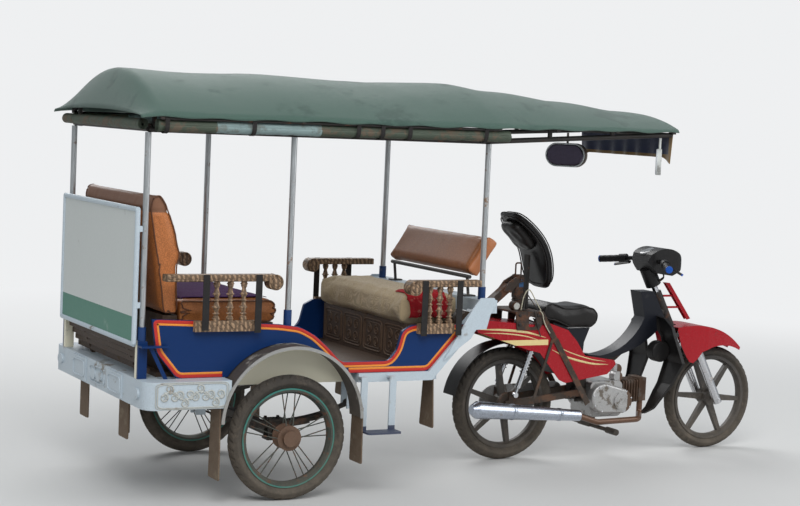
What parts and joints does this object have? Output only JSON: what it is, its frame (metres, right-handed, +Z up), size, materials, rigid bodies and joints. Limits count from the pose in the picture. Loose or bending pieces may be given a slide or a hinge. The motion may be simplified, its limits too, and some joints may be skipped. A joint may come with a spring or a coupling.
{
  "type": "open passenger carriage with a cloth roof, hinged on an underbone motorcycle",
  "caption": "Open tuk-tuk: a roofed two-wheeled passenger carriage with facing bench seats, towed from a hinge over the rear wheel of a step-through motorcycle.",
  "frame": {"origin": "on the ground, at the centre of the whole vehicle's box, midway between its sides", "axes": "+X forward, the way it drives; +Y to its left side; +Z up"},
  "size_m": [3.6879, 1.336, 1.8462],
  "materials": {
    "white_paint": "weathered white paint",
    "blue_paint": "deep blue gloss with red and yellow lines",
    "cream_paint": "cream paint",
    "red_bodywork": "red gloss with a cream stripe",
    "black_plastic": "scuffed black",
    "navy_plastic": "dark blue-black",
    "rusty_steel": "rusted steel",
    "dark_steel": "oily dark steel",
    "post_steel": "dull bright tube",
    "chrome_plate": "chrome plate",
    "engine_alloy": "cast alloy",
    "teal_rim": "teal paint, rust",
    "black_rim": "dusty black",
    "tyre_rubber": "dusty rubber",
    "flap_rubber": "brown worn rubber",
    "canopy_cloth": "green tarpaulin",
    "curtain_cloth": "rolled green cloth",
    "navy_cloth": "navy cloth",
    "vinyl_orange": "flecked orange-brown vinyl",
    "vinyl_brown": "brown vinyl",
    "beige_cover": "beige cloth",
    "black_vinyl": "black vinyl",
    "carved_wood": "carved and varnished",
    "dark_wood": "dark carved wood",
    "strap_web": "black webbing",
    "sign_white": "off-white panel with a green band",
    "mirror_shell": "mirror in a dark shell"
  },
  "bodies": {
    "carriage": {"chassis_frame": "white_paint", "drawbar": "rusty_steel", "axle": "dark_steel", "leaf_springs": "dark_steel", "floor_deck": "dark_wood", "side_panel_right": "blue_paint", "side_panel_left": "blue_paint", "bumper": "white_paint", "rear_shelf": "dark_wood", "corner_posts": "blue_paint", "sign_board": "sign_white", "sign_frame": "white_paint", "mudguards": "dark_steel", "mud_flaps": "flap_rubber", "steps": "white_paint", "rear_seat_base": "vinyl_orange", "rear_seat_cushion": "vinyl_orange", "rear_backrest": "vinyl_orange", "front_seat_box": "dark_wood", "front_seat_cushion": "beige_cover", "front_backrest": "vinyl_brown", "backrest_brackets": "black_rim", "rear_armrests": "carved_wood", "front_armrests": "carved_wood", "armrest_straps": "strap_web", "roof_posts": "post_steel", "roof_frame": "dark_steel", "canopy": "canopy_cloth", "side_curtains": "curtain_cloth", "rear_curtain": "curtain_cloth", "front_valance": "navy_cloth", "mirrors": "mirror_shell"},
    "wheel_right": {"wheel_right_rim": "teal_rim", "wheel_right_tyre": "tyre_rubber"},
    "wheel_left": {"wheel_left_rim": "teal_rim", "wheel_left_tyre": "tyre_rubber"},
    "hitch": {"hitch_head": "rusty_steel"},
    "motorcycle": {"bike_frame": "dark_steel", "hitch_rack": "rusty_steel", "engine": "engine_alloy", "exhaust": "chrome_plate", "swingarm": "rusty_steel", "shock_absorbers": "chrome_plate", "chain_case": "engine_alloy", "rear_fender": "black_plastic", "tail_cowl": "red_bodywork", "red_covers": "red_bodywork", "tunnel_cover": "navy_plastic", "leg_shield": "black_plastic", "rider_seat": "black_vinyl", "driver_backrest": "black_vinyl", "backrest_upright": "dark_steel"},
    "steering": {"fork": "chrome_plate", "front_fender": "red_bodywork", "handlebar_cowl": "black_plastic", "handlebar": "black_plastic"},
    "rear_wheel": {"bike_rear_rim": "black_rim", "bike_rear_tyre": "tyre_rubber"},
    "front_wheel": {"bike_front_rim": "black_rim", "bike_front_tyre": "tyre_rubber"}
  },
  "joints": [
    {"name": "wheel_right_spin", "type": "hinge", "parent": "carriage", "child": "wheel_right", "pos_m": [-1.119, -0.564, 0.274], "axis": [0, 1, 0], "continuous": true},
    {"name": "wheel_left_spin", "type": "hinge", "parent": "carriage", "child": "wheel_left", "pos_m": [-1.119, 0.564, 0.274], "axis": [0, 1, 0], "continuous": true},
    {"name": "hitch_pitch", "type": "hinge", "parent": "carriage", "child": "hitch", "pos_m": [0.365, 0, 0.905], "axis": [0, 1, 0], "range_deg": [-8, 8]},
    {"name": "hitch_yaw", "type": "hinge", "parent": "hitch", "child": "motorcycle", "pos_m": [0.365, 0, 0.755], "axis": [0, 0, 1], "range_deg": [-35, 35]},
    {"name": "steering_turn", "type": "hinge", "parent": "motorcycle", "child": "steering", "pos_m": [1.52091, 0, 0.2433], "axis": [-0.4695, 0, 0.8829], "range_deg": [-40, 40]},
    {"name": "rear_wheel_spin", "type": "hinge", "parent": "motorcycle", "child": "rear_wheel", "pos_m": [0.308, 0, 0.281], "axis": [0, 1, 0], "continuous": true},
    {"name": "front_wheel_spin", "type": "hinge", "parent": "steering", "child": "front_wheel", "pos_m": [1.573, 0, 0.271], "axis": [0, 1, 0], "continuous": true}
  ]
}
